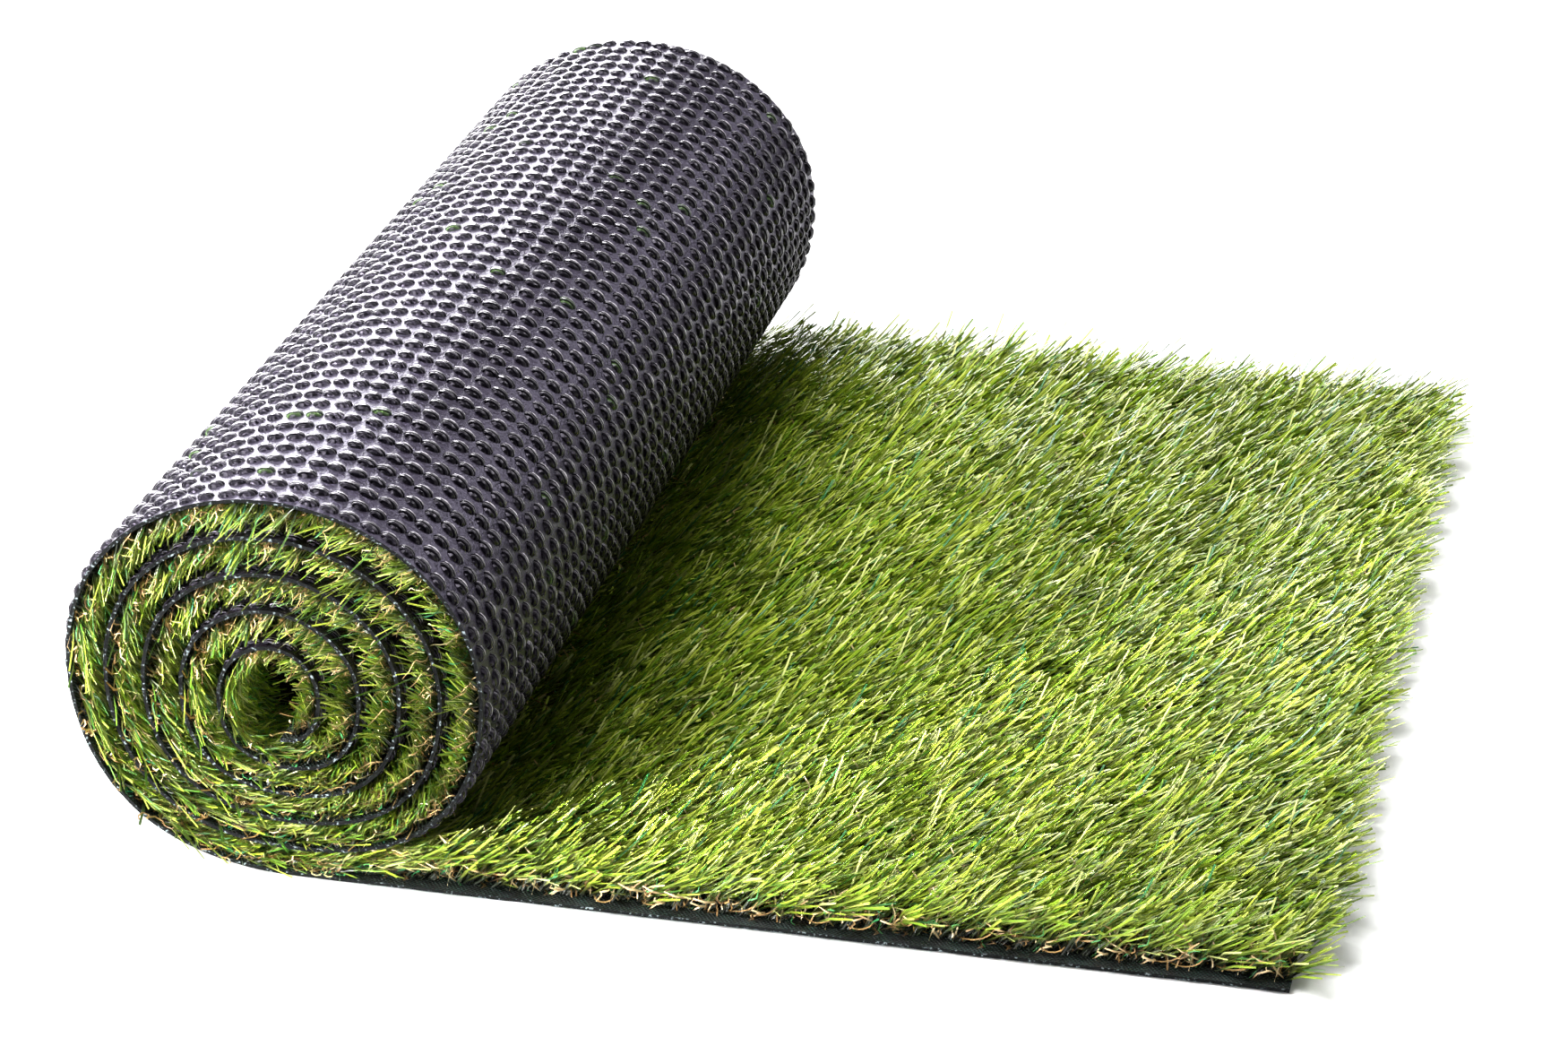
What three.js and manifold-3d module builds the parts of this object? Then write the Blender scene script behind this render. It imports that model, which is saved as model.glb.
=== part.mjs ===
// A roll of artificial grass, partly unrolled: one tufted sheet that lies flat on the floor at its
// free end and is wound up, grass inwards, at the other. The sheet is a black backing with a grass
// pile on it, and both run unbroken from the cut end on the floor to the cut end in the roll's bore.
// Millimetres, +Z up. +Y runs along the roll's axis, and +X from the roll to the free end.
// The origin is at the middle of the footprint, on the floor.

import * as THREE from "three";
import { mergeVertices } from "three/addons/utils/BufferGeometryUtils.js";
import Module from "manifold-3d";

const wasm = await Module();
wasm.setup();

// Tufting. The rows of stitches run along the sheet, and their number sets its width.
const ROW_GAUGE = 9.525;
const ROW_COUNT = 50;
const SHEET_WIDTH = ROW_GAUGE * ROW_COUNT;
const STITCH_PITCH = 7.62; // along a row

// The backing, from its woven face to the crowns of the stitch loops on its back.
const BACKING_THICKNESS = 2;

// The roll. Its middle is at x = 0 here, and its turns are counted in laps from the floor inwards.
const TURNS = 5;
const ROLL_HEIGHT = 151;
const ROLL_WIDTH = 156;
const SIDE_PITCH = 14.5; // from one lap to the next at the roll's sides
const TOP_PITCH = 14.3;
const FLOOR_PITCH = 11; // under the axis, where the roll's weight presses the pile
const ROLL_SAG = 0.05; // how much fuller than an ellipse the lower quarters are
const CORE_DRIFT = 0.5; // how far each lap's middle sits left of the last one's
const ROLL_ASKEW = 8; // how far along the sheet the roll's far end lies from its near end

// The sheet's cut end on the floor, from the roll's middle.
const FREE_END = 361;

// The pile. Its blades lean along the sheet, so that it overhangs the cut end.
const STANDING_PILE = 22; // to the tips of the tufts on the flat length
const PILE_BED = 8; // up to where the tufts part
const CORE_PILE = 8; // in the bore, where the bend of the sheet folds it
const PILE_OVERHANG = 20;
const PILE_END_MARGIN = 2; // at both cut ends
const PILE_NEAR_MARGIN = 4; // the bare strip of backing before the first row
const PILE_FAR_MARGIN = 0.5;
const PILE_GAP = 0.3; // to the backing on either side of it

// The tufts on the flat length, each of which is the yarn of a few stitches of one row.
const STITCHES_PER_TUFT = 2;
const TUFT_LEAN = 14; // how far its tip reaches past its last stitch
const TUFT_FOOT_LIFT = 4; // how much higher than the bed the clefts between tufts can be
const TUFT_SINK = 1.5; // how deep the field of tufts is let into the bed at its rim
const TUFT_SPREAD = new THREE.Vector3(3, 1.5, 2); // how far each point strays either way
const TUFT_SEED = 7;

// Heights above the floor on the flat length.
const ROOT_HEIGHT = BACKING_THICKNESS + PILE_GAP;
const BED_TOP = ROOT_HEIGHT + PILE_BED;
const TIP_HEIGHT = ROOT_HEIGHT + STANDING_PILE;

const SEGMENTS_PER_TURN = 48;
const LAP = 2 * Math.PI;

// A point on the back of the wound sheet. The lap angle starts under the axis and grows clockwise.
function backPoint(angle) {
  const laps = angle / LAP;
  const bottom = FLOOR_PITCH * laps;
  const top = ROLL_HEIGHT - TOP_PITCH * (laps - 0.5);
  const halfWidth = ROLL_WIDTH / 2 - SIDE_PITCH * (laps - 0.5);
  const middle = SIDE_PITCH / 4 - CORE_DRIFT * laps;
  const sag = 1 + (ROLL_SAG * Math.sin(2 * angle) ** 2 * (1 + Math.cos(angle))) / 2;
  return new THREE.Vector2(
    middle - halfWidth * sag * Math.sin(angle),
    (top + bottom) / 2 - ((top - bottom) / 2) * sag * Math.cos(angle),
  );
}

// The direction in which the grass grows there, square to the backing.
function growthAt(angle) {
  const step = 0.001;
  const along = backPoint(angle + step).sub(backPoint(angle - step));
  return new THREE.Vector2(along.y, -along.x).normalize();
}

// A point that stands off the sheet's back by the given height, on the grass side.
function above(angle, height) {
  return backPoint(angle).addScaledVector(growthAt(angle), height);
}

// The angles from one lap to another, in even steps and with both ends.
function lapAngles(fromLap, toLap) {
  const steps = Math.round((toLap - fromLap) * SEGMENTS_PER_TURN);
  return Array.from(
    { length: steps + 1 },
    (_, i) => LAP * (fromLap + ((toLap - fromLap) * i) / steps),
  );
}

// The backing's section: its back from the free end to the bore, then its woven face back again.
function backingSection() {
  const laps = lapAngles(0, TURNS);
  const back = laps.map((angle) => backPoint(angle));
  const face = laps.map((angle) => above(angle, BACKING_THICKNESS)).reverse();
  return [
    new THREE.Vector2(FREE_END, 0),
    ...back,
    ...face,
    new THREE.Vector2(FREE_END, BACKING_THICKNESS),
  ];
}

// The lap angle on the outermost turn where a pile of the given height stops short of its back.
function wedgeAngle(height) {
  let angle = LAP;
  while (above(angle, -PILE_GAP).y < height) {
    angle -= 0.002;
  }
  return angle;
}

// How far the leaning pile reaches past the cut end at a height above its roots.
function overhangAt(height) {
  return (PILE_OVERHANG * height) / STANDING_PILE;
}

// The section of the pile and, on the flat length, of its bed. The roots stand on the backing. The
// tips are free in the bore, and in the other laps they stop at the back of the next lap.
function pileSection() {
  const endAngle = LAP * TURNS - PILE_END_MARGIN / (CORE_PILE + BACKING_THICKNESS);
  const roots = lapAngles(0, TURNS).filter((angle) => angle < endAngle);
  const wedgeEnd = wedgeAngle(BED_TOP);
  const pressed = lapAngles(0.75, TURNS).filter((angle) => angle > wedgeEnd);
  const free = roots.filter((angle) => angle > LAP * (TURNS - 1) + 0.01);
  return [
    new THREE.Vector2(FREE_END - PILE_END_MARGIN, ROOT_HEIGHT),
    ...roots.map((angle) => above(angle, ROOT_HEIGHT)),
    ...free.map((angle) => above(angle, ROOT_HEIGHT + CORE_PILE)).reverse(),
    ...pressed.map((angle) => above(angle, -PILE_GAP)).reverse(),
    above(wedgeEnd, -PILE_GAP),
    new THREE.Vector2(FREE_END + overhangAt(PILE_BED), BED_TOP),
  ];
}

// How far a point of the near end's section moves along the sheet by the far end: the roll moves by
// all of its askew, the cut end on the floor stays, and between them the move dies out.
function askewAt(x) {
  const rollEdge = ROLL_WIDTH / 2;
  const clear = THREE.MathUtils.clamp((x - rollEdge) / (FREE_END - rollEdge), 0, 1);
  return ROLL_ASKEW * (1 - clear);
}

// A body of the given section that runs between two places along the roll's axis.
function wound(section, fromY, toY) {
  const geometry = new THREE.ExtrudeGeometry(new THREE.Shape(section), {
    depth: toY - fromY,
    bevelEnabled: false,
  });
  geometry.rotateX(Math.PI / 2).translate(0, toY, 0);
  return setAskew(geometry);
}

// Moves each point of a body along the sheet, as the roll's askew asks.
function setAskew(geometry) {
  const points = geometry.attributes.position;
  for (let i = 0; i < points.count; i += 1) {
    const x = points.getX(i);
    points.setX(i, x + (askewAt(x) * points.getY(i)) / SHEET_WIDTH);
  }
  geometry.computeVertexNormals();
  return geometry;
}

// A random length between two limits, the same ones each time.
function stray(limit) {
  return (THREE.MathUtils.seededRandom() * 2 - 1) * limit;
}

// The places of the clefts between the tufts of a row, from the roll to the free end.
function cleftPlaces() {
  const clear = above(wedgeAngle(BED_TOP + TUFT_FOOT_LIFT), -PILE_GAP).x;
  const end = FREE_END + overhangAt(PILE_BED) - TUFT_SINK;
  const count = Math.round((end - clear) / (STITCH_PITCH * STITCHES_PER_TUFT));
  return Array.from({ length: count + 1 }, (_, i) => clear + ((end - clear) * i) / count);
}

// The places of the clefts between rows, from the pile's near side to its far side.
function rowEdges() {
  const edges = Array.from({ length: ROW_COUNT + 1 }, (_, j) => ROW_GAUGE * j);
  edges[0] = PILE_NEAR_MARGIN;
  edges[ROW_COUNT] = SHEET_WIDTH - PILE_FAR_MARGIN;
  return edges;
}

// The feet of the tufts, where four of them meet. Those on the rim are sunk into the bed.
function tuftFeet(clefts, edges) {
  return clefts.flatMap((x, i) =>
    edges.map((y, j) => {
      const onRim = i % (clefts.length - 1) === 0 || j % (edges.length - 1) === 0;
      return onRim
        ? new THREE.Vector3(x, y, BED_TOP - TUFT_SINK)
        : new THREE.Vector3(
            x + stray(TUFT_SPREAD.x),
            y + stray(TUFT_SPREAD.y),
            BED_TOP + THREE.MathUtils.seededRandom() * TUFT_FOOT_LIFT,
          );
    }),
  );
}

// The tips of the tufts. They lean towards the free end, where the last ones reach the overhang.
function tuftTips(clefts, edges) {
  const lastCleft = clefts.length - 1;
  return clefts.slice(1).flatMap((x, i) =>
    edges.slice(1).map((edge, j) => {
      const tipX = i + 1 === lastCleft ? FREE_END + PILE_OVERHANG : x + TUFT_LEAN + stray(TUFT_SPREAD.x);
      const tipY = (edge + edges[j]) / 2 + stray(TUFT_SPREAD.y);
      return new THREE.Vector3(tipX, tipY, TIP_HEIGHT + stray(TUFT_SPREAD.z));
    }),
  );
}

// The tufts of the flat length as one body: four faces rise from each tuft's feet to its tip, and
// faces from the rim to a point inside the bed close it below.
function tuftField() {
  THREE.MathUtils.seededRandom(TUFT_SEED);
  const clefts = cleftPlaces();
  const edges = rowEdges();
  const feet = tuftFeet(clefts, edges);
  const tips = tuftTips(clefts, edges);
  const middleX = (clefts[0] + clefts[clefts.length - 1]) / 2;
  const below = new THREE.Vector3(middleX, SHEET_WIDTH / 2, BED_TOP - 2 * TUFT_SINK);
  const columns = clefts.length - 1;
  const foot = (i, j) => i * edges.length + j;
  const belowPlace = feet.length + tips.length;
  const faces = [];
  for (let i = 0; i < columns; i += 1) {
    for (let j = 0; j < ROW_COUNT; j += 1) {
      const round = [foot(i, j), foot(i + 1, j), foot(i + 1, j + 1), foot(i, j + 1)];
      const tip = feet.length + i * ROW_COUNT + j;
      round.forEach((place, k) => faces.push(place, round[(k + 1) % 4], tip));
    }
  }
  for (let i = 0; i < columns; i += 1) {
    faces.push(foot(i + 1, 0), foot(i, 0), belowPlace);
    faces.push(foot(i, ROW_COUNT), foot(i + 1, ROW_COUNT), belowPlace);
  }
  for (let j = 0; j < ROW_COUNT; j += 1) {
    faces.push(foot(0, j), foot(0, j + 1), belowPlace);
    faces.push(foot(columns, j + 1), foot(columns, j), belowPlace);
  }
  const geometry = new THREE.BufferGeometry().setFromPoints([...feet, ...tips, below]);
  geometry.setIndex(faces);
  return setAskew(geometry);
}

// A closed body ready to be joined to another.
function solid(geometry) {
  const bare = geometry.clone();
  bare.deleteAttribute("normal");
  bare.deleteAttribute("uv");
  const merged = mergeVertices(bare);
  const mesh = new wasm.Mesh({
    numProp: 3,
    vertProperties: new Float32Array(merged.attributes.position.array),
    triVerts: new Uint32Array(merged.index.array),
  });
  return new wasm.Manifold(mesh);
}

// Two bodies that run into each other, as one.
function joined(first, second) {
  const mesh = solid(first).add(solid(second)).getMesh();
  const geometry = new THREE.BufferGeometry();
  geometry.setAttribute("position", new THREE.BufferAttribute(mesh.vertProperties, 3));
  geometry.setIndex(new THREE.BufferAttribute(mesh.triVerts, 1));
  geometry.computeVertexNormals();
  return geometry;
}

// Black latex over the woven backing.
function latex() {
  return new THREE.MeshStandardMaterial({ color: "#22262b", roughness: 0.5, metalness: 0 });
}

// Green plastic yarn.
function grassYarn() {
  return new THREE.MeshStandardMaterial({ color: "#5f8b30", roughness: 0.6, metalness: 0 });
}

function turfBacking() {
  const mesh = new THREE.Mesh(wound(backingSection(), 0, SHEET_WIDTH), latex());
  mesh.name = "turf_backing";
  return mesh;
}

function grassPile() {
  const bed = wound(pileSection(), PILE_NEAR_MARGIN, SHEET_WIDTH - PILE_FAR_MARGIN);
  const mesh = new THREE.Mesh(joined(bed, tuftField()), grassYarn());
  mesh.name = "grass_pile";
  return mesh;
}

// Moves the sheet so that the middle of its footprint is at the origin.
function centred(meshes) {
  const group = new THREE.Group();
  group.name = "artificial_grass_roll";
  group.add(...meshes);
  const middle = new THREE.Box3().setFromObject(group).getCenter(new THREE.Vector3());
  for (const mesh of meshes) {
    mesh.geometry.translate(-middle.x, -middle.y, 0);
  }
  return group;
}

export default centred([turfBacking(), grassPile()]);
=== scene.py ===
"""The partly unrolled roll of artificial grass, dressed over its CAD frame.

Everything on the sheet is first laid out flat, as it leaves the tufting machine: `along` runs from
the cut end on the floor towards the bore, `across` from the near edge to the far one, and `height`
from the back of the sheet into the grass. The sheet's path then bends it into place. Metres.
"""

import logging
import math
from dataclasses import dataclass, field
from enum import Enum
from typing import Any

import bpy
import numpy as np
from mathutils import Matrix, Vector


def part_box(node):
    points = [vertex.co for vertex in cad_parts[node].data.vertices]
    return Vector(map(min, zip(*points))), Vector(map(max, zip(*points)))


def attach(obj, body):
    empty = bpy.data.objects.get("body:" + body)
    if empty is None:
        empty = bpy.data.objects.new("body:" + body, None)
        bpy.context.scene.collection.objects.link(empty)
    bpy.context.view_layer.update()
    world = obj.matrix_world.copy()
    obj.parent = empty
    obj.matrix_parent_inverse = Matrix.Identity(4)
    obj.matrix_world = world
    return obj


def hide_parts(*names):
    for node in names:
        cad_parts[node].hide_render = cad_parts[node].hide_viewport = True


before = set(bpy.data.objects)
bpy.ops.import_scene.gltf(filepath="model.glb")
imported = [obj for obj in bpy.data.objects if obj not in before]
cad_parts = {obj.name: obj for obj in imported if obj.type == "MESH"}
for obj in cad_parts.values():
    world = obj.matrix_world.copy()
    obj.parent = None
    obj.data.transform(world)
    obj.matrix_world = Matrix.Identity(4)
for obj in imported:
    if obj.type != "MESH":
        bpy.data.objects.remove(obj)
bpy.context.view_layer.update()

LOG = logging.getLogger("turf")
MM = 0.001
LAP = 2 * math.pi


def linear(code: str) -> tuple[float, float, float, float]:
    """Turns a colour as a screen shows it into the linear one that shaders use.

    Args:
        code: The colour as #rrggbb.

    Returns:
        Red, green, blue and an alpha of 1.
    """
    parts = [int(code[i : i + 2], 16) / 255 for i in (1, 3, 5)]
    flat = [p / 12.92 if p <= 0.04045 else ((p + 0.055) / 1.055) ** 2.4 for p in parts]
    return (flat[0], flat[1], flat[2], 1.0)


# Node trees


class Term:
    """A number socket of a node tree, on which Python's operators add Math nodes."""

    def __init__(self, net: "Net", socket: bpy.types.NodeSocket) -> None:
        """Wraps the socket of a node in net."""
        self.net = net
        self.socket = socket

    def _math(self, operation: str, *values: Any) -> "Term":
        """Adds one Math node on the given values and returns its result."""
        inputs = dict(enumerate(values))
        return self.net.term("ShaderNodeMath", {"operation": operation}, inputs)

    def __add__(self, other: Any) -> "Term":
        """self + other."""
        return self._math("ADD", self, other)

    def __radd__(self, other: Any) -> "Term":
        """other + self."""
        return self._math("ADD", other, self)

    def __sub__(self, other: Any) -> "Term":
        """self - other."""
        return self._math("SUBTRACT", self, other)

    def __rsub__(self, other: Any) -> "Term":
        """other - self."""
        return self._math("SUBTRACT", other, self)

    def __mul__(self, other: Any) -> "Term":
        """self * other."""
        return self._math("MULTIPLY", self, other)

    def __rmul__(self, other: Any) -> "Term":
        """other * self."""
        return self._math("MULTIPLY", other, self)

    def __truediv__(self, other: Any) -> "Term":
        """self / other."""
        return self._math("DIVIDE", self, other)

    def sin(self) -> "Term":
        """The sine of self, in radians."""
        return self._math("SINE", self)

    def least(self, other: Any) -> "Term":
        """The lesser of self and other."""
        return self._math("MINIMUM", self, other)

    def most(self, other: Any) -> "Term":
        """The greater of self and other."""
        return self._math("MAXIMUM", self, other)


class Net:
    """Adds nodes to one tree, each with its settings first and then its sockets."""

    def __init__(self, tree: bpy.types.NodeTree) -> None:
        """Starts on a tree, whose nodes are kept."""
        self.tree = tree

    def node(
        self,
        kind: str,
        settings: dict[str, Any] | None = None,
        inputs: dict[Any, Any] | None = None,
    ) -> bpy.types.Node:
        """Adds one node.

        Args:
            kind: The node's type.
            settings: Properties of the node, and `stops` for a colour ramp.
            inputs: Values or links by the socket's name or place.

        Returns:
            The new node.
        """
        made = self.tree.nodes.new(kind)
        for name, value in (settings or {}).items():
            if name == "stops":
                self._set_stops(made.color_ramp, value)
            else:
                setattr(made, name, value)
        for key, value in (inputs or {}).items():
            self.put(made.inputs[key], value)
        return made

    def _set_stops(self, ramp: bpy.types.ColorRamp, stops: list[tuple[float, Any]]) -> None:
        """Gives a colour ramp its stops, each a place and a colour."""
        while len(ramp.elements) < len(stops):
            ramp.elements.new(0.5)
        for element, (place, colour) in zip(ramp.elements, stops):
            element.position = place
            element.color = colour

    def put(self, socket: bpy.types.NodeSocket, value: Any) -> None:
        """Links a socket to a Term or another socket, or sets its value."""
        if isinstance(value, Term):
            value = value.socket
        if isinstance(value, bpy.types.NodeSocket):
            self.tree.links.new(value, socket)
        else:
            socket.default_value = value

    def term(
        self,
        kind: str,
        settings: dict[str, Any] | None = None,
        inputs: dict[Any, Any] | None = None,
        output: Any = 0,
    ) -> Term:
        """Adds one node and returns one of its outputs as a Term."""
        return Term(self, self.node(kind, settings, inputs).outputs[output])

    def vector(self, operation: str, *values: Any) -> bpy.types.NodeSocket:
        """Adds a Vector Math node on the given values and returns its vector."""
        inputs = dict(enumerate(values))
        if operation == "SCALE":
            inputs = {0: values[0], "Scale": values[1]}
        made = self.node("ShaderNodeVectorMath", {"operation": operation}, inputs)
        return made.outputs["Vector"]

    def blend(self, kind: str, factor: Any, first: Any, second: Any) -> bpy.types.NodeSocket:
        """Mixes two colours and returns the result.

        Args:
            kind: How they are mixed, such as MIX or MULTIPLY.
            factor: The share of the second one.
            first: The colour at 0.
            second: The colour at 1.

        Returns:
            The mixed colour's socket.
        """
        made = self.node("ShaderNodeMix", {"data_type": "RGBA", "blend_type": kind})
        self.put(made.inputs["Factor"], factor)
        self.put(made.inputs["A"], first)
        self.put(made.inputs["B"], second)
        return made.outputs["Result"]


class ShaderNet(Net):
    """The tree of one material, with its Principled shader."""

    def __init__(self, name: str) -> None:
        """Makes a material of that name."""
        self.material = bpy.data.materials.new(name)
        self.material.use_nodes = True
        super().__init__(self.material.node_tree)
        self.shader = self.tree.nodes["Principled BSDF"]

    def attribute(self, name: str) -> Term:
        """Reads a number that the mesh keeps for each point."""
        return self.term("ShaderNodeAttribute", {"attribute_name": name}, output="Fac")

    def uv(self, name: str) -> tuple[Term, Term]:
        """Reads the two numbers of a UV map."""
        uv = self.node("ShaderNodeUVMap", {"uv_map": name}).outputs["UV"]
        split = self.node("ShaderNodeSeparateXYZ", inputs={0: uv})
        return Term(self, split.outputs["X"]), Term(self, split.outputs["Y"])

    def combine(self, x: Any, y: Any, z: Any) -> bpy.types.NodeSocket:
        """Makes a vector of three numbers."""
        return self.node("ShaderNodeCombineXYZ", inputs={0: x, 1: y, 2: z}).outputs[0]

    def noise(self, vector: Any, scale: float, detail: float = 3.0) -> Term:
        """Smooth noise from 0 to 1 over a vector."""
        inputs = {"Vector": vector, "Scale": scale, "Detail": detail}
        return self.term("ShaderNodeTexNoise", None, inputs, "Fac")

    def ramp(self, value: Any, stops: list[tuple[float, Any]]) -> bpy.types.NodeSocket:
        """Turns a number into a colour by the given stops."""
        made = self.node("ShaderNodeValToRGB", {"stops": stops}, {0: value})
        return made.outputs["Color"]

    def between(self, value: Any, low: float, high: float) -> Term:
        """Where a value lies from low, 0, to high, 1, held to that range."""
        inputs = {"Value": value, "From Min": low, "From Max": high}
        return self.term("ShaderNodeMapRange", {"clamp": True}, inputs)

    def bump(self, height: Any, depth: float, strength: float = 1.0) -> bpy.types.NodeSocket:
        """Turns a height from 0 to 1 into a normal, depth metres deep."""
        inputs = {"Height": height, "Distance": depth, "Strength": strength}
        return self.node("ShaderNodeBump", None, inputs).outputs["Normal"]

    def finish(self, **sockets: Any) -> bpy.types.Material:
        """Sets the shader's sockets, named with _ for a space, and returns the material."""
        for name, value in sockets.items():
            self.put(self.shader.inputs[name.replace("_", " ")], value)
        return self.material


# Finishes


@dataclass(frozen=True)
class LatexBack:
    """Black latex brushed over the back of the woven fabric."""

    colour: str = "#0b080d"
    dusty: str = "#1d1722"

    def make(self) -> bpy.types.Material:
        """Builds the material, which reads the sheet's UV map in metres."""
        net = ShaderNet("latex_back")
        along, across = net.uv("sheet")
        place = net.combine(along, across, 0.0)
        cloud = net.noise(place, 60.0, 4.0)
        grit = net.noise(place, 900.0, 3.0)
        dust = net.between(cloud, 0.35, 0.75)
        base = net.blend("MIX", dust, linear(self.colour), linear(self.dusty))
        rough = 0.26 + (cloud * 0.16) + (grit * 0.14)
        normal = net.bump(grit * 0.6 + net.noise(place, 420.0, 3.0), 0.0007, 0.9)
        return net.finish(
            Base_Color=base,
            Roughness=rough,
            Normal=normal,
            Specular_IOR_Level=0.75,
            Specular_Tint=linear("#ddd0ff"),
        )


@dataclass(frozen=True)
class StitchYarn:
    """The loops of yarn on the back, soaked in the same latex, with painted highlights and glints on
    them.
    """

    colour: str = "#0d0c10"
    # The colour of the painted highlights on the loops.
    painted_highlight: str = "#f4eef8"
    fleck: str = "#4e6a35"

    def make(self) -> bpy.types.Material:
        """Builds the material, with strands along each loop, a painted highlight on each loop's far
        shoulder and painted glints on the strands' crests.
        """
        net = ShaderNet("stitch_yarn")
        along, across = net.uv("loop")
        tone = net.attribute("stitch_tone")
        sway = (along * 3.0 + (tone * 20.0)).sin()
        strand = ((across * 26.0) + (sway * 1.6) + (tone * 40.0)).sin() * 0.5 + 0.5
        fleck = net.between(tone, 0.975, 0.98)
        base = net.blend("MIX", fleck * strand * 0.7, linear(self.colour), linear(self.fleck))
        place = across + (sway * 0.03)
        # Painted highlight: a pale band on each loop's far shoulder, where light from behind would
        # catch it, stronger on some loops than on others.
        far = net.between(place, 0.56, 0.64) * net.between(place, 0.82, 0.74)
        painted_highlight = far * net.between((tone * 31.0).sin(), -1.4, 0.2)
        base = net.blend("MIX", painted_highlight, base, linear(self.painted_highlight))
        # Painted glints: the strand crests on the near half of each loop are pushed towards the
        # highlight colour.
        painted_glint = net.between(strand, 0.85, 1.0) * net.between(across, 0.2, 0.5)
        base = net.blend("MIX", painted_glint * 0.3, base, linear(self.painted_highlight))
        return net.finish(
            Base_Color=base,
            Roughness=0.42 - (strand * 0.14),
            Normal=net.bump(strand, 0.0012, 1.0),
            Specular_IOR_Level=0.34,
            Specular_Tint=linear("#e4d8f4"),
        )


@dataclass(frozen=True)
class WovenFace:
    """The plain weave that the tufts come through, black with a green cast."""

    warp: str = "#060a0a"
    weft: str = "#2b5046"
    pitch: float = 1.5 * MM

    def make(self) -> bpy.types.Material:
        """Builds the weave from two crossing waves over the sheet's UV map."""
        net = ShaderNet("woven_face")
        along, across = net.uv("sheet")
        turn = 2 * math.pi / self.pitch
        weave = (along * turn).sin() * (across * turn * 0.8).sin()
        height = weave * 0.5 + 0.5
        cloud = net.noise(net.combine(along, across, 0.0), 160.0)
        shine = net.between(height, 0.55, 0.95) * net.between(cloud, 0.35, 0.65)
        base = net.blend("MIX", shine, linear(self.warp), linear(self.weft))
        normal = net.bump(height, 0.0005, 0.9)
        return net.finish(Base_Color=base, Roughness=0.62, Normal=normal, Specular_IOR_Level=0.35)


@dataclass(frozen=True)
class CutEdge:
    """The sheet's cut edge: grey fibre ends in black latex."""

    dark: str = "#020303"
    light: str = "#6d777a"

    def make(self) -> bpy.types.Material:
        """Builds the material from fine noise along the edge."""
        net = ShaderNet("cut_edge")
        place = net.node("ShaderNodeTexCoord").outputs["Object"]
        fibre = net.noise(place, 800.0, 3.0)
        ends = net.between(fibre, 0.6, 0.67)
        base = net.blend("MIX", ends, linear(self.dark), linear(self.light))
        normal = net.bump(fibre, 0.0004, 0.8)
        return net.finish(Base_Color=base, Roughness=0.85, Normal=normal, Specular_IOR_Level=0.12)


@dataclass(frozen=True)
class BladeYarn:
    """The straight blades: satin yarn in several greens, with painted shade darkening them towards the
    root.
    """

    stops: tuple[tuple[float, str], ...] = (
        (0.0, "#1f6a34"),
        (0.05, "#3a7a26"),
        (0.2, "#69921a"),
        (0.5, "#98b02a"),
        (0.85, "#b6c444"),
        (1.0, "#d4da8c"),
    )
    # The colour of the painted shade deep in the pile, near the blades' roots.
    root: str = "#1c260c"
    shaded: str = "#6a8040"

    def make(self) -> bpy.types.Material:
        """Builds the material, coloured by each blade's tone, with painted shade towards each blade's
        root.
        """
        net = ShaderNet("blade_yarn")
        side, up = net.uv("blade")
        tone = net.attribute("tone")
        base = net.ramp(tone, [(place, linear(code)) for place, code in self.stops])
        # Painted shade: each blade darkens from 0.8 of its length down to its root, where the pile
        # around it would shade it.
        root = net.between(up, 0.8, 0.16)
        base = net.blend("MULTIPLY", root, base, linear(self.root))
        clump = net.between(net.attribute("stitch_tone"), 0.0, 0.5)
        base = net.blend("MULTIPLY", 0.62 - (clump * 0.62), base, linear(self.shaded))
        ridge = (side * (2 * math.pi * 1.5)).sin() * 0.5 + 0.5
        normal = net.bump(ridge, 0.0003, 0.6)
        return net.finish(
            Base_Color=base, Roughness=0.33, Normal=normal, Specular_IOR_Level=0.6
        )


@dataclass(frozen=True)
class ThatchYarn:
    """The curled yarn between the blades: mostly tan, some brown, olive and green."""

    stops: tuple[tuple[float, str], ...] = (
        (0.0, "#5f4426"),
        (0.25, "#9c7a48"),
        (0.5, "#d0ac78"),
        (0.66, "#dfc79c"),
        (0.76, "#8f9a44"),
        (0.88, "#2f8246"),
        (1.0, "#17694a"),
    )

    def make(self) -> bpy.types.Material:
        """Builds the material, coloured by each yarn's tone."""
        net = ShaderNet("thatch_yarn")
        base = net.ramp(net.attribute("tone"), [(p, linear(code)) for p, code in self.stops])
        return net.finish(Base_Color=base, Roughness=0.5, Specular_IOR_Level=0.4)


# The sheet's path


class Ceiling(Enum):
    """What the pile's tips meet."""

    OPEN = 60 * MM
    BORE = 8 * MM


@dataclass(frozen=True)
class Path:
    """The path sampled at even steps: place and grass side in the section, and how the pile lies.

    room is how high it can stand, press the share of its height that it keeps there, and stretch
    the share of its reach along the sheet.
    """

    along: np.ndarray
    x: np.ndarray
    z: np.ndarray
    growth_x: np.ndarray
    growth_z: np.ndarray
    room: np.ndarray
    lap: np.ndarray
    press: np.ndarray
    stretch: np.ndarray


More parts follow.
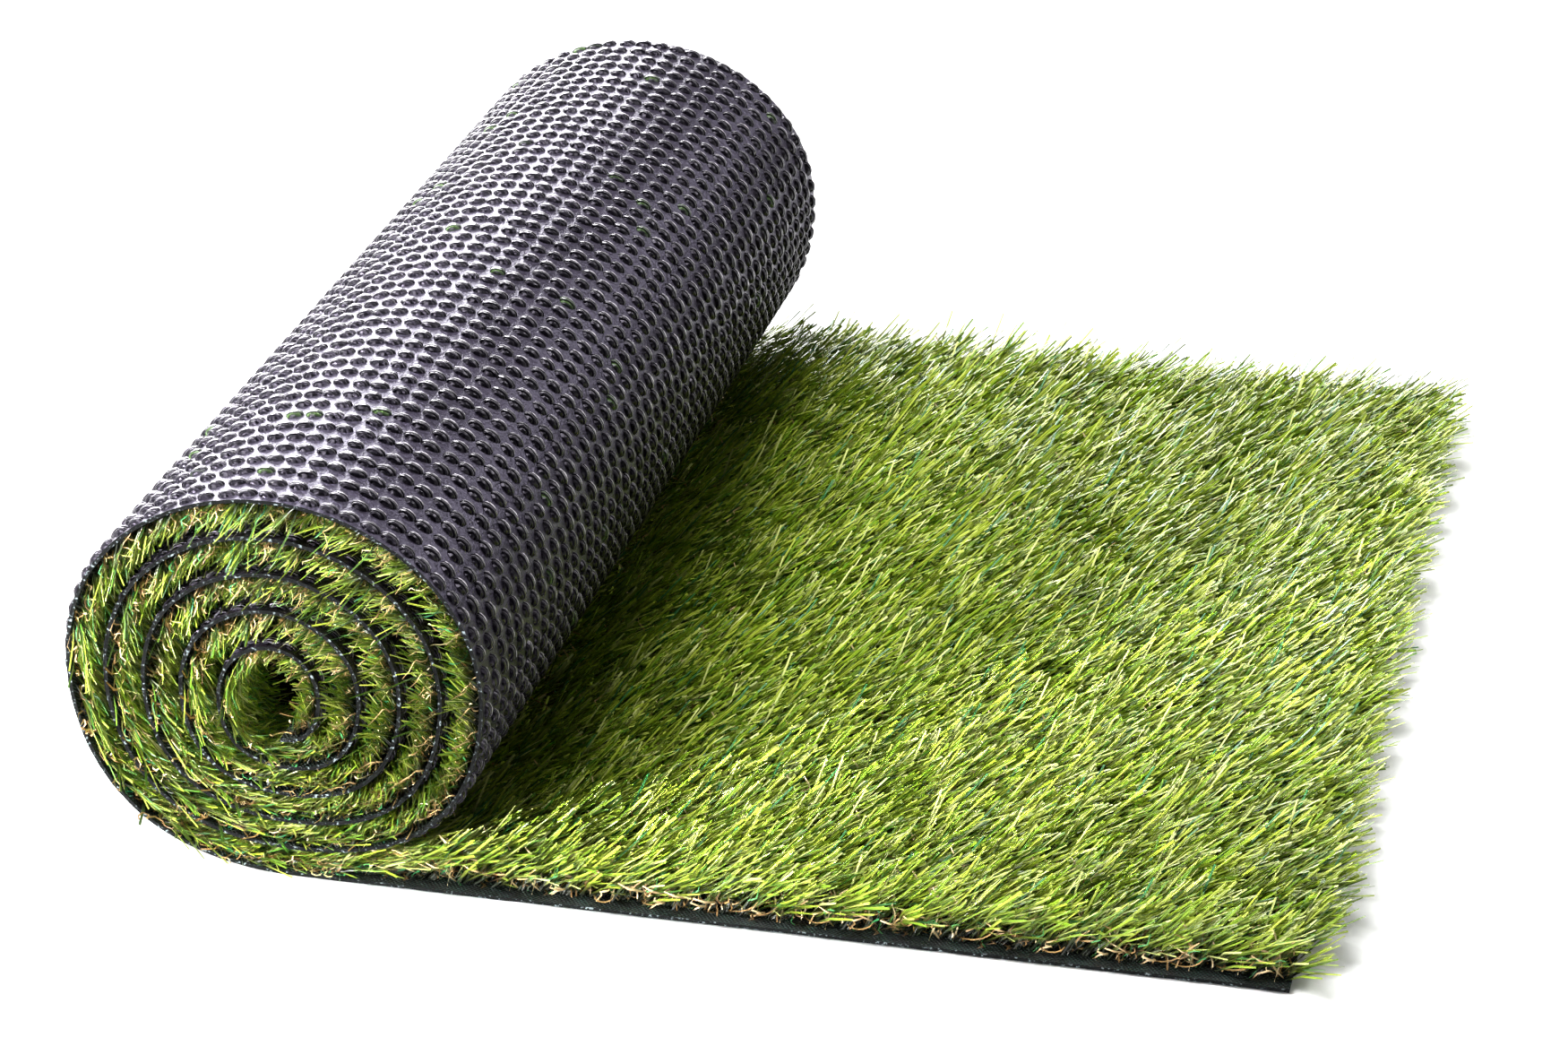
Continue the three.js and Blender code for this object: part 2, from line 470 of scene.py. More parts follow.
@dataclass(frozen=True)
class WoundSheet:
    """The sheet's own sizes, and the line that its back follows through the roll.

    free_end is where the cut end lies on the floor, flat how far that is from the roll's middle,
    pile how high the grass stands where nothing presses it, loose the room from which the turns
    leave it free, and easing how gradually that sets in.
    """

    width: float
    free_end: float
    flat: float = 361 * MM
    turns: int = 5
    pile: float = 21 * MM
    loose: float = 22 * MM
    easing: float = 8 * MM
    roll_height: float = 151 * MM
    roll_width: float = 156 * MM
    side_pitch: float = 14.5 * MM
    top_pitch: float = 14.3 * MM
    floor_pitch: float = 11 * MM
    sag: float = 0.05
    core_drift: float = 0.5 * MM
    askew: float = 8 * MM
    thickness: float = 2 * MM
    coat: float = 0.6 * MM
    step: float = 1 * MM

    def back(self, angle: np.ndarray) -> tuple[np.ndarray, np.ndarray]:
        """Places on the back of the wound sheet, from the roll's middle.

        Args:
            angle: Lap angles in radians, from under the axis and clockwise.

        Returns:
            Their x and z.
        """
        laps = angle / LAP
        bottom = self.floor_pitch * laps
        top = self.roll_height - self.top_pitch * (laps - 0.5)
        half_width = self.roll_width / 2 - self.side_pitch * (laps - 0.5)
        middle = self.side_pitch / 4 - self.core_drift * laps
        sag = 1 + self.sag * np.sin(2 * angle) ** 2 * (1 + np.cos(angle)) / 2
        x = middle - half_width * sag * np.sin(angle)
        z = (top + bottom) / 2 - (top - bottom) / 2 * sag * np.cos(angle)
        return x, z

    def trace(self) -> Path:
        """Samples the whole path, from the cut end on the floor to the one in the bore."""
        angle = np.linspace(0, LAP * self.turns, 8000)
        wound_x, wound_z = self.back(angle)
        flat_x = np.linspace(self.flat, wound_x[0], 400)[:-1]
        x = np.concatenate([flat_x, wound_x])
        z = np.concatenate([np.zeros_like(flat_x), wound_z])
        lap = np.concatenate([np.zeros_like(flat_x), angle / LAP])
        length = np.concatenate([[0], np.cumsum(np.hypot(np.diff(x), np.diff(z)))])
        along = np.linspace(0, length[-1], int(round(length[-1] / self.step)) + 1)
        xs, zs = np.interp(along, length, x), np.interp(along, length, z)
        laps = np.interp(along, length, lap)
        run, rise = np.gradient(xs, along), np.gradient(zs, along)
        scale = np.hypot(run, rise)
        growth_x, growth_z = rise / scale, -run / scale
        room = self._room(xs, zs, growth_x, growth_z, laps)
        down = np.clip(0.7 * growth_x + 0.7 * growth_z, -1, 1)
        wound = np.clip((self.loose - room) / self.easing, 0, 1)
        fill = 1 - wound * (0.04 - 0.06 * down)
        press = np.minimum(1, fill * room / self.pile)
        stretch = 1 + wound * (-0.08 + 0.24 * down)
        return Path(along, xs + self.middle, zs, growth_x, growth_z, room, laps, press, stretch)

    def _room(
        self, x: np.ndarray, z: np.ndarray, gx: np.ndarray, gz: np.ndarray, lap: np.ndarray
    ) -> np.ndarray:
        """How high the pile can stand at each sample before it meets the next turn."""
        next_x, next_z = self.back((lap + 1) * LAP)
        between = (next_x - x) * gx + (next_z - z) * gz - self.thickness
        room = np.where(lap > self.turns - 1, Ceiling.BORE.value, between)
        under = np.linspace(0.76, 1.0, 200) * LAP
        coil_x, coil_z = self.back(under)
        order = np.argsort(coil_x)
        above = np.interp(x, coil_x[order], coil_z[order], right=1.0) - self.thickness
        flat = (lap == 0) & (x > 0)
        room = np.where(flat, np.minimum(above, Ceiling.OPEN.value), room)
        return np.maximum(room, 4 * MM)

    def bend(
        self, path: Path, along: np.ndarray, across: np.ndarray, height: np.ndarray
    ) -> np.ndarray:
        """Takes places on the flat sheet to places in the row frame.

        Args:
            path: The sampled path.
            along: Distance from the cut end on the floor.
            across: Distance from the sheet's near edge.
            height: Distance from the sheet's back, on the grass side.

        Returns:
            An array of points.
        """
        x = np.interp(along, path.along, path.x)
        z = np.interp(along, path.along, path.z)
        gx = np.interp(along, path.along, path.growth_x)
        gz = np.interp(along, path.along, path.growth_z)
        askew = self.askew * np.minimum(along / self.flat_length, 1) * across / self.width
        return np.stack([x + gx * height + askew, across - self.width / 2, z + gz * height], axis=-1)

    @property
    def middle(self) -> float:
        """Where the roll's middle stands over the floor."""
        return self.free_end - self.flat

    @property
    def flat_length(self) -> float:
        """How much of the sheet lies on the floor, up to the roll's edge."""
        return self.flat - self.roll_width / 2


# Mesh helpers


def mesh_piece(
    name: str,
    points: np.ndarray,
    faces: list[tuple[int, ...]] | np.ndarray,
    finishes: list[bpy.types.Material],
) -> bpy.types.Object:
    """Makes an object of a mesh and links it to the scene.

    Args:
        name: The piece's name.
        points: Its points in the row frame.
        faces: Each face's points by number.
        finishes: The materials of its slots.

    Returns:
        The new object.
    """
    mesh = bpy.data.meshes.new(name)
    mesh.from_pydata(points.tolist(), [], [tuple(map(int, f)) for f in faces])
    for finish in finishes:
        mesh.materials.append(finish)
    mesh.update()
    piece = bpy.data.objects.new(name, mesh)
    bpy.context.scene.collection.objects.link(piece)
    return piece


def corner_uv(mesh: bpy.types.Mesh, name: str, uv: np.ndarray) -> None:
    """Gives a mesh a UV map from one pair of numbers for each point."""
    layer = mesh.uv_layers.new(name=name)
    corner = np.zeros(len(mesh.loops), dtype=np.int32)
    mesh.loops.foreach_get("vertex_index", corner)
    layer.data.foreach_set("uv", uv[corner].astype(np.float32).ravel())


def point_number(mesh: bpy.types.Mesh, name: str, values: np.ndarray) -> None:
    """Gives a mesh a named number for each point."""
    attribute = mesh.attributes.new(name, "FLOAT", "POINT")
    attribute.data.foreach_set("value", values.astype(np.float32))


# The backing


@dataclass
class Backing:
    """The woven and coated strip, from one cut end to the other."""

    sheet: WoundSheet
    path: Path
    stride: int = 3
    lanes: int = 12
    fray: float = 0.35 * MM
    seed: int = 5

    def build(self) -> bpy.types.Object:
        """Sweeps the strip's section along the path and dresses its four kinds of face."""
        rng = np.random.default_rng(self.seed)
        along = self.path.along[:: self.stride]
        along = np.append(along[:-1], self.path.along[-1])
        across = np.linspace(0, self.sheet.width, self.lanes + 1)
        ring_across = np.concatenate([across, across[::-1]])
        low = np.full(self.lanes + 1, self.sheet.coat)
        ring_height = np.concatenate([low, low * 0 + self.sheet.thickness])
        n, m = len(along), len(ring_across)
        a = np.repeat(along, m)
        edge = rng.normal(0, self.fray, n)
        edge = np.convolve(edge, [0.25, 0.5, 0.25], "same")
        c = np.tile(ring_across, n).reshape(n, m)
        c[:, [0, m - 1]] += edge[:, None] * 0.5 + self.fray
        c[:, [self.lanes, self.lanes + 1]] -= edge[::-1, None] * 0.5 + self.fray
        c = c.ravel()
        points = self.sheet.bend(self.path, a, c, np.tile(ring_height, n))
        faces, kinds = self._faces(n, m)
        finishes = [LatexBack().make(), WovenFace().make(), CutEdge().make()]
        piece = mesh_piece("backing_strip", points, faces, finishes)
        corner_uv(piece.data, "sheet", np.stack([a, c], axis=-1))
        piece.data.polygons.foreach_set("material_index", np.array(kinds, dtype=np.int32))
        piece.data.polygons.foreach_set("use_smooth", np.ones(len(faces), dtype=bool))
        piece.data.set_sharp_from_angle(angle=math.radians(50))
        return piece

    def _faces(self, n: int, m: int) -> tuple[list[tuple[int, ...]], list[int]]:
        """The strip's faces and the material slot of each."""
        faces: list[tuple[int, ...]] = []
        kinds: list[int] = []
        half = m // 2
        for i in range(n - 1):
            for j in range(m):
                k = (j + 1) % m
                faces.append((i * m + j, i * m + k, (i + 1) * m + k, (i + 1) * m + j))
                kinds.append(2 if j in (half - 1, m - 1) else (0 if j < half else 1))
        for start in (0, (n - 1) * m):
            for j in range(half - 1):
                quad = (start + j, start + m - 1 - j, start + m - 2 - j, start + j + 1)
                faces.append(quad if start == 0 else quad[::-1])
                kinds.append(2)
        return faces, kinds


# What repeats over the sheet


@dataclass
class Yarn:
    """One strand of a tuft, as a ribbon: its spine, its width and how it is turned."""

    spine: np.ndarray
    widths: np.ndarray
    turn: np.ndarray
    tone: float

    def ribbon(self) -> tuple[np.ndarray, list[tuple[int, ...]], np.ndarray]:
        """The ribbon's points, faces and UV pairs."""
        heading = np.gradient(self.spine, axis=0)
        heading /= np.linalg.norm(heading, axis=1)[:, None]
        side = np.cross(heading, np.array([0.0, 0.0, 1.0]))
        length = np.linalg.norm(side, axis=1)[:, None]
        side = np.where(length > 1e-4, side / np.maximum(length, 1e-4), [[0.0, 1.0, 0.0]])
        other = np.cross(heading, side)
        across = side * np.cos(self.turn)[:, None] + other * np.sin(self.turn)[:, None]
        half = across * self.widths[:, None] / 2
        points = np.stack([self.spine - half, self.spine + half], axis=1).reshape(-1, 3)
        n = len(self.spine)
        faces = [(2 * i, 2 * i + 1, 2 * i + 3, 2 * i + 2) for i in range(n - 1)]
        up = np.linspace(0, 1, n)
        uv = np.stack([np.tile([0.0, 1.0], n), np.repeat(up, 2)], axis=-1)
        return points, faces, uv


@dataclass(frozen=True)
class TuftStyle:
    """How the blades of a tuft stand: their number, lengths, angles above the sheet and spread."""

    blades: int
    lengths: tuple[float, float]
    rises: tuple[float, float]
    ends: tuple[float, float]
    spread: float


LAWN_TUFT = TuftStyle(32, (16 * MM, 30 * MM), (42, 80), (8, 46), 0.34)
COIL_TUFT = TuftStyle(40, (15 * MM, 29 * MM), (40, 88), (5, 75), 0.6)


@dataclass
class Tuft:
    """A pattern tuft: the yarns that come through the weave at one stitch, on the flat sheet."""

    seed: int
    style: TuftStyle = LAWN_TUFT

    def blade_yarns(self) -> list[Yarn]:
        """Straight blades that lean towards the cut end on the floor."""
        rng = np.random.default_rng(self.seed)
        swing = rng.normal(0, 0.3)
        middles = np.array([0.25, 0.75])
        yarns = []
        for _ in range(self.style.blades):
            heading = math.pi - 0.15 + swing + rng.normal(0, self.style.spread)
            length = rng.uniform(*self.style.lengths)
            start = math.radians(rng.uniform(*self.style.rises))
            end = math.radians(rng.uniform(*self.style.ends))
            pitch = start + (end - start) * middles**0.7
            steps = np.stack(
                [
                    np.cos(pitch) * math.cos(heading),
                    np.cos(pitch) * math.sin(heading),
                    np.sin(pitch),
                ],
                axis=-1,
            )
            spine = np.concatenate([[[0, 0, 0]], np.cumsum(steps * length / 2, axis=0)])
            spine[:, :2] += rng.normal(0, [1.4, 1.1]) * MM
            widths = np.array([0.8, 1.0, rng.uniform(0.5, 1.0)]) * rng.uniform(0.65, 1.1) * MM
            turn = rng.normal(0, 0.6) + np.linspace(0, rng.normal(0, 0.7), 3)
            yarns.append(Yarn(spine, widths, turn, float(rng.uniform(0, 1))))
        return yarns

    def thatch_yarns(self, count: int, reach: float) -> list[Yarn]:
        """Thin curled yarns that stay low between the blades.

        Args:
            count: How many.
            reach: How high they stand, in metres.

        Returns:
            The yarns.
        """
        rng = np.random.default_rng(self.seed + 1000)
        steps = np.linspace(0, 1, 7)
        yarns = []
        for _ in range(count):
            radius = rng.uniform(0.8, 2.4) * MM
            angle = rng.uniform(0, LAP) + steps * rng.choice([-1, 1]) * rng.uniform(0.6, 1.7) * LAP
            heading = rng.uniform(0, LAP)
            lean = rng.uniform(3, 14) * MM
            spine = np.stack(
                [
                    np.cos(angle) * radius + math.cos(heading) * lean * steps,
                    np.sin(angle) * radius + math.sin(heading) * lean * steps,
                    steps * reach * rng.uniform(0.5, 1.1) + np.sin(angle * 0.7) * radius * 0.6,
                ],
                axis=-1,
            )
            spine[:, :2] += rng.normal(0, [2.2, 1.7]) * MM
            spine[:, 2] = np.maximum(spine[:, 2], 0)
            widths = np.full(7, rng.uniform(0.45, 0.75) * MM)
            widths[-1] *= 0.5
            turn = np.linspace(0, rng.normal(0, 2.0), 7)
            yarns.append(Yarn(spine, widths, turn, float(rng.uniform(0, 1) ** 1.2)))
        return yarns


def yarn_pattern(name: str, yarns: list[Yarn], finish: bpy.types.Material) -> bpy.types.Object:
    """Joins yarns into one pattern mesh, with its UV map and each yarn's tone."""
    points, faces, uvs, tones = [], [], [], []
    count = 0
    for yarn in yarns:
        p, f, uv = yarn.ribbon()
        points.append(p)
        faces += [tuple(i + count for i in face) for face in f]
        uvs.append(uv)
        tones.append(np.full(len(p), yarn.tone))
        count += len(p)
    piece = mesh_piece(name, np.concatenate(points), faces, [finish])
    corner_uv(piece.data, "blade", np.concatenate(uvs))
    point_number(piece.data, "tone", np.concatenate(tones))
    piece.data.polygons.foreach_set("use_smooth", np.ones(len(faces), dtype=bool))
    return piece


@dataclass
class LoopPattern:
    """A pattern stitch loop: a lens of yarn that stands on the back, with its crown at height 0."""

    length: float = 8.0 * MM
    width: float = 5.6 * MM
    sunk: float = 1.0 * MM
    around: int = 10
    rings: tuple[tuple[float, float], ...] = ((1.0, 0.0), (0.82, 0.62), (0.45, 0.95))
    seed: int = 0

    def build(self, name: str, finish: bpy.types.Material) -> bpy.types.Object:
        """Builds the loop as rings that close at the crown."""
        rng = np.random.default_rng(self.seed)
        points, uv, rise = [], [], []
        skew = rng.normal(0, 0.12)
        for size, lift in self.rings:
            for k in range(self.around):
                t = LAP * k / self.around
                x = math.copysign(abs(math.cos(t)) ** 1.25, math.cos(t)) * size * self.length / 2
                y = math.sin(t) * size * self.width / 2 * (1 + rng.normal(0, 0.05))
                x += y * skew
                z = self.sunk * (1 - lift) * (1 + rng.normal(0, 0.03))
                points.append((x, y, z))
                uv.append((x / self.length + 0.5, y / self.width + 0.5))
                rise.append(lift)
        points.append((0.0, 0.0, 0.0))
        uv.append((0.5, 0.5))
        rise.append(1.0)
        faces: list[tuple[int, ...]] = []
        n = self.around
        for ring in range(len(self.rings) - 1):
            for k in range(n):
                a, b = ring * n + k, ring * n + (k + 1) % n
                faces.append((b, a, a + n, b + n))
        top = (len(self.rings) - 1) * n
        faces += [(top + (k + 1) % n, top + k, len(points) - 1) for k in range(n)]
        piece = mesh_piece(name, np.array(points), faces, [finish])
        corner_uv(piece.data, "loop", np.array(uv))
        point_number(piece.data, "rise", np.array(rise))
        piece.data.polygons.foreach_set("use_smooth", np.ones(len(faces), dtype=bool))
        return piece


@dataclass
class Stretch:
    """A part of the sheet on which a pattern repeats, by its stitches and rows.

    shift moves the rows away from the near edge.
    """

    first_along: float
    last_along: float
    first_row: int
    last_row: int
    shift: float = 0.0


@dataclass
class SheetRepeat:
    """Repeats patterns over a stretch of the sheet and bends them into place with Geometry Nodes."""

    sheet: WoundSheet
    path: Path
    gauge: float = 9.525 * MM
    stitch: float = 7.6 * MM
    carrier: bpy.types.Object | None = field(default=None, repr=False)

    def _carrier(self) -> bpy.types.Object:
        """The path as a chain of points that keep their grass side, their room and their distance."""
        if self.carrier is None:
            n = len(self.path.along)
            mesh = bpy.data.meshes.new("sheet_path")
            points = np.stack([self.path.x, np.zeros(n), self.path.z], axis=-1)
            mesh.from_pydata(points.tolist(), [(i, i + 1) for i in range(n - 1)], [])
            growth = np.stack([self.path.growth_x, np.zeros(n), self.path.growth_z], axis=-1)
            attribute = mesh.attributes.new("growth", "FLOAT_VECTOR", "POINT")
            attribute.data.foreach_set("vector", growth.astype(np.float32).ravel())
            point_number(mesh, "room", self.path.room)
            point_number(mesh, "press", self.path.press)
            point_number(mesh, "stretch", self.path.stretch)
            self.carrier = bpy.data.objects.new("sheet_path", mesh)
            bpy.context.scene.collection.objects.link(self.carrier)
        return self.carrier

    def lay(
        self,
        name: str,
        patterns: list[bpy.types.Object],
        stretch: Stretch,
        finish: bpy.types.Material,
        seed: int,
        root: float,
        pressed: bool,
        jitter: float = 1.3 * MM,
        spin: float = 0.34,
        swell: tuple[float, float] = (0.88, 1.12),
        lift: float = 1.0,
    ) -> bpy.types.Object:
        """Lays one pattern at each stitch of a stretch.

        Args:
            name: The piece's name.
            patterns: The patterns, of which each stitch gets one.
            stretch: Where they go.
            finish: The piece's material.
            seed: For the choice, turn and size of each.
            root: The height of the patterns' zero above the sheet's back.
            pressed: Whether the next turn presses them down.
            jitter: How far a stitch lies from its place.
            spin: The largest turn to either side, in radians.
            swell: The smallest and largest size.
            lift: How much of its height a pattern keeps.

        Returns:
            The piece, as a plain mesh.
        """
        carrier = self._carrier()
        host = bpy.data.objects.new(name, bpy.data.meshes.new(name + "_seed"))
        bpy.context.scene.collection.objects.link(host)
        tree = self._tree(name, patterns, carrier, finish, pressed)
        modifier = host.modifiers.new("repeat", "NODES")
        modifier.node_group = tree
        stitches = max(1, int(round((stretch.last_along - stretch.first_along) / self.stitch)))
        rows = stretch.last_row - stretch.first_row + 1
        values = {
            "Stitches": stitches,
            "Rows": rows,
            "Stitch Pitch": self.stitch,
            "Row Gauge": self.gauge,
            "First Along": stretch.first_along,
            "First Across": (stretch.first_row + 0.5) * self.gauge + stretch.shift,
            "Jitter": jitter,
            "Spin": spin,
            "Smallest": swell[0],
            "Largest": swell[1],
            "Root": root,
            "Lift": lift,
            "Seed": seed,
        }
        for item in tree.interface.items_tree:
            if item.item_type == "SOCKET" and item.in_out == "INPUT" and item.name in values:
                modifier[item.identifier] = values[item.name]
        graph = bpy.context.evaluated_depsgraph_get()
        graph.update()
        made = bpy.data.meshes.new_from_object(
            host.evaluated_get(graph), preserve_all_data_layers=True, depsgraph=graph
        )
        made.name = name
        host.modifiers.remove(modifier)
        host.data = made
        if not made.materials:
            made.materials.append(finish)
        return host

    def _tree(
        self,
        name: str,
        patterns: list[bpy.types.Object],
        carrier: bpy.types.Object,
        finish: bpy.types.Material,
        pressed: bool,
    ) -> bpy.types.NodeTree:
        """Builds the node tree of one repeat, with its sizes as named inputs."""
        tree = bpy.data.node_groups.new(name + "_repeat", "GeometryNodeTree")
        inputs = {
            "Stitches": "NodeSocketInt",
            "Rows": "NodeSocketInt",
            "Seed": "NodeSocketInt",
            "Stitch Pitch": "NodeSocketFloat",
            "Row Gauge": "NodeSocketFloat",
            "First Along": "NodeSocketFloat",
            "First Across": "NodeSocketFloat",
            "Jitter": "NodeSocketFloat",
            "Spin": "NodeSocketFloat",
            "Smallest": "NodeSocketFloat",
            "Largest": "NodeSocketFloat",
            "Root": "NodeSocketFloat",
            "Lift": "NodeSocketFloat",
        }
        tree.interface.new_socket("Geometry", in_out="INPUT", socket_type="NodeSocketGeometry")
        for socket, kind in inputs.items():
            tree.interface.new_socket(socket, in_out="INPUT", socket_type=kind)
        tree.interface.new_socket("Geometry", in_out="OUTPUT", socket_type="NodeSocketGeometry")
        net = Net(tree)
        source = net.node("NodeGroupInput")
        given = {socket: Term(net, source.outputs[socket]) for socket in inputs}
        laid = self._instances(net, given, patterns)
        bent = self._bent(net, given, laid, carrier, pressed)
        dressed = net.node("GeometryNodeSetMaterial", None, {"Geometry": bent, "Material": finish})
        net.node("NodeGroupOutput", None, {0: dressed.outputs[0]})
        return tree

    def _random(self, net: Net, given: dict[str, Term], offset: int, low: Any, high: Any) -> Term:
        """A random number for each stitch, with a seed of its own."""
        seed = given["Seed"] + offset
        inputs = {2: low, 3: high, "Seed": seed}
        return net.term("FunctionNodeRandomValue", {"data_type": "FLOAT"}, inputs, 1)

    def _instances(
        self, net: Net, given: dict[str, Term], patterns: list[bpy.types.Object]
    ) -> bpy.types.NodeSocket:
        """Puts a pattern at each stitch of the flat sheet and makes them real."""
        length = given["Stitch Pitch"] * (given["Stitches"] - 1)
        width = given["Row Gauge"] * (given["Rows"] - 1)
        grid = net.node(
            "GeometryNodeMeshGrid",
            None,
            {
                "Size X": length.most(1e-6),
                "Size Y": width.most(1e-6),
                "Vertices X": given["Stitches"].most(1),
                "Vertices Y": given["Rows"].most(1),
            },
        ).outputs["Mesh"]
        shift_x = given["First Along"] + (length * 0.5)
        shift_y = given["First Across"] + (width * 0.5)
        jitter = given["Jitter"]
        off_x = shift_x + self._random(net, given, 1, -1.0, 1.0) * jitter
        off_y = shift_y + self._random(net, given, 2, -1.0, 1.0) * jitter * 0.6
        offset = net.node("ShaderNodeCombineXYZ", None, {0: off_x, 1: off_y}).outputs[0]
        points = net.node(
            "GeometryNodeSetPosition", None, {"Geometry": grid, "Offset": offset}
        ).outputs[0]
        joined = net.node("GeometryNodeJoinGeometry")
        for pattern in patterns:
            info = net.node("GeometryNodeObjectInfo", {"transform_space": "ORIGINAL"})
            info.inputs["Object"].default_value = pattern
            info.inputs["As Instance"].default_value = True
            net.tree.links.new(info.outputs["Geometry"], joined.inputs[0])
        pick = self._random(net, given, 3, 0.0, len(patterns) - 0.001)
        choice = net.term("ShaderNodeMath", {"operation": "FLOOR"}, {0: pick})
        spin = self._random(net, given, 4, given["Spin"] * -1.0, given["Spin"])
        turned = net.node("ShaderNodeCombineXYZ", None, {2: spin}).outputs[0]
        size = self._random(net, given, 5, given["Smallest"], given["Largest"])
        scale = net.node(
            "ShaderNodeCombineXYZ", None, {0: size, 1: size, 2: size * given["Lift"]}
        ).outputs[0]
        placed = net.node(
            "GeometryNodeInstanceOnPoints",
            None,
            {
                "Points": points,
                "Instance": joined.outputs[0],
                "Pick Instance": True,
                "Instance Index": choice,
                "Rotation": turned,
                "Scale": scale,
            },
        ).outputs[0]
        place = net.node("GeometryNodeInputPosition").outputs[0]
        foot = net.node("ShaderNodeSeparateXYZ", None, {0: place}).outputs["X"]
        stored = placed
        for label, value in (
            ("stitch_tone", self._random(net, given, 6, 0.0, 1.0)),
            ("foot", Term(net, foot)),
        ):
            stored = net.node(
                "GeometryNodeStoreNamedAttribute",
                {"data_type": "FLOAT", "domain": "INSTANCE"},
                {"Geometry": stored, "Name": label, "Value": value},
            ).outputs[0]
        return net.node("GeometryNodeRealizeInstances", None, {0: stored}).outputs[0]

    def _bent(
        self,
        net: Net,
        given: dict[str, Term],
        laid: bpy.types.NodeSocket,
        carrier: bpy.types.Object,
        pressed: bool,
    ) -> bpy.types.NodeSocket:
        """Bends the flat layout along the path, pressing the pile where a turn lies on it."""
        info = net.node("GeometryNodeObjectInfo", {"transform_space": "ORIGINAL"})
        info.inputs["Object"].default_value = carrier
        curve = net.node("GeometryNodeMeshToCurve", None, {0: info.outputs["Geometry"]}).outputs[0]
        place = net.node("GeometryNodeInputPosition").outputs[0]
        split = net.node("ShaderNodeSeparateXYZ", None, {0: place})
        along, across, height = (Term(net, split.outputs[i]) for i in range(3))
        end = float(self.path.along[-1])
        standing = height
        if pressed:
            foot = self._named(net, "foot", "FLOAT")
            room, press, stretch = (
                Term(net, self._sampled(net, curve, label, "FLOAT", foot).outputs["Value"])
                for label in ("room", "press", "stretch")
            )
            standing = (height * press).least(room - 0.2 * MM)
            along = foot + (along - foot) * stretch
        held = along.most(0.0).least(end)
        sample_growth = self._sampled(net, curve, "growth", "FLOAT_VECTOR", held)
        rise = standing + given["Root"]
        askew = (along / self.sheet.flat_length).least(1.0).most(0.0) * across
        askew = askew * (self.sheet.askew / self.sheet.width)
        sideways = net.node(
            "ShaderNodeCombineXYZ",
            None,
            {0: askew + (held - along), 1: across - self.sheet.width / 2},
        ).outputs[0]
        out = net.vector("SCALE", sample_growth.outputs["Value"], rise)
        bent = net.vector("ADD", net.vector("ADD", sample_growth.outputs["Position"], out), sideways)
        return net.node(
            "GeometryNodeSetPosition", None, {"Geometry": laid, "Position": bent}
        ).outputs[0]

    def _named(self, net: Net, label: str, kind: str) -> Term:
        """Reads a named value of the mesh or the path."""
        return net.term("GeometryNodeInputNamedAttribute", {"data_type": kind}, {0: label})

    def _sampled(
        self, net: Net, curve: bpy.types.NodeSocket, label: str, kind: str, length: Term
    ) -> bpy.types.Node:
        """Reads a value that the path keeps, at a distance along it."""
        return net.node(
            "GeometryNodeSampleCurve",
            {"data_type": kind, "mode": "LENGTH"},
            {"Curves": curve, "Value": self._named(net, label, kind), "Length": length},
        )

    def clear(self) -> None:
        """Removes the path's chain, which is no piece of the object."""
        if self.carrier is not None:
            bpy.data.objects.remove(self.carrier, do_unlink=True)
            self.carrier = None


@dataclass
class StitchBack:
    """The stitch loops on the sheet's back."""

    repeat: SheetRepeat
    rows: int = 50

    def build(self) -> list[bpy.types.Object]:
        """Lays the loops under the flat length, round the roll and at the inner turns' ends."""
        finish = StitchYarn().make()
        patterns = [LoopPattern(seed=k).build(f"loop_{k}", finish) for k in range(5)]
        low = ((1.0, 0.0), (0.7, 0.75))
        plain = [
            LoopPattern(seed=9 + k, around=8, rings=low).build(f"flat_loop_{k}", finish)
            for k in range(3)
        ]
        sheet, path = self.repeat.sheet, self.repeat.path
        wound = float(path.along[np.argmax(path.lap > 0)])
        lap_one = float(path.along[np.argmax(path.lap > 1.02)])
        end = float(path.along[-1])
        last = self.rows - 1
        under = Stretch(4 * MM, wound + 12 * MM, 0, last)
        outer = Stretch(wound + 20 * MM, lap_one, 0, last)
        near = Stretch(lap_one, end - 4 * MM, 0, 2)
        far = Stretch(lap_one, end - 4 * MM, last - 2, last)
        pieces = [
            self._lay("underside_stitches", plain, under, finish, 31, 1.0),
            self._lay("roll_stitches", patterns, outer, finish, 32, 2.3),
            self._lay("near_turn_stitches", plain, near, finish, 33, 1.4),
            self._lay("far_turn_stitches", plain, far, finish, 34, 1.4),
        ]
        for pattern in patterns + plain:
            bpy.data.objects.remove(pattern, do_unlink=True)
        return pieces

    def _lay(
        self,
        name: str,
        patterns: list[bpy.types.Object],
        stretch: Stretch,
        finish: bpy.types.Material,
        seed: int,
        lift: float,
    ) -> bpy.types.Object:
        """Lays one stretch of loops, whose feet stay sunk in the coat."""
        feet = LoopPattern.sunk
        return self.repeat.lay(
            name,
            patterns,
            stretch,
            finish,
            seed,
            root=feet * (1 - lift),
            pressed=False,
            jitter=0.5 * MM,
            spin=0.1,
            swell=(0.85, 1.1),
            lift=lift,
        )


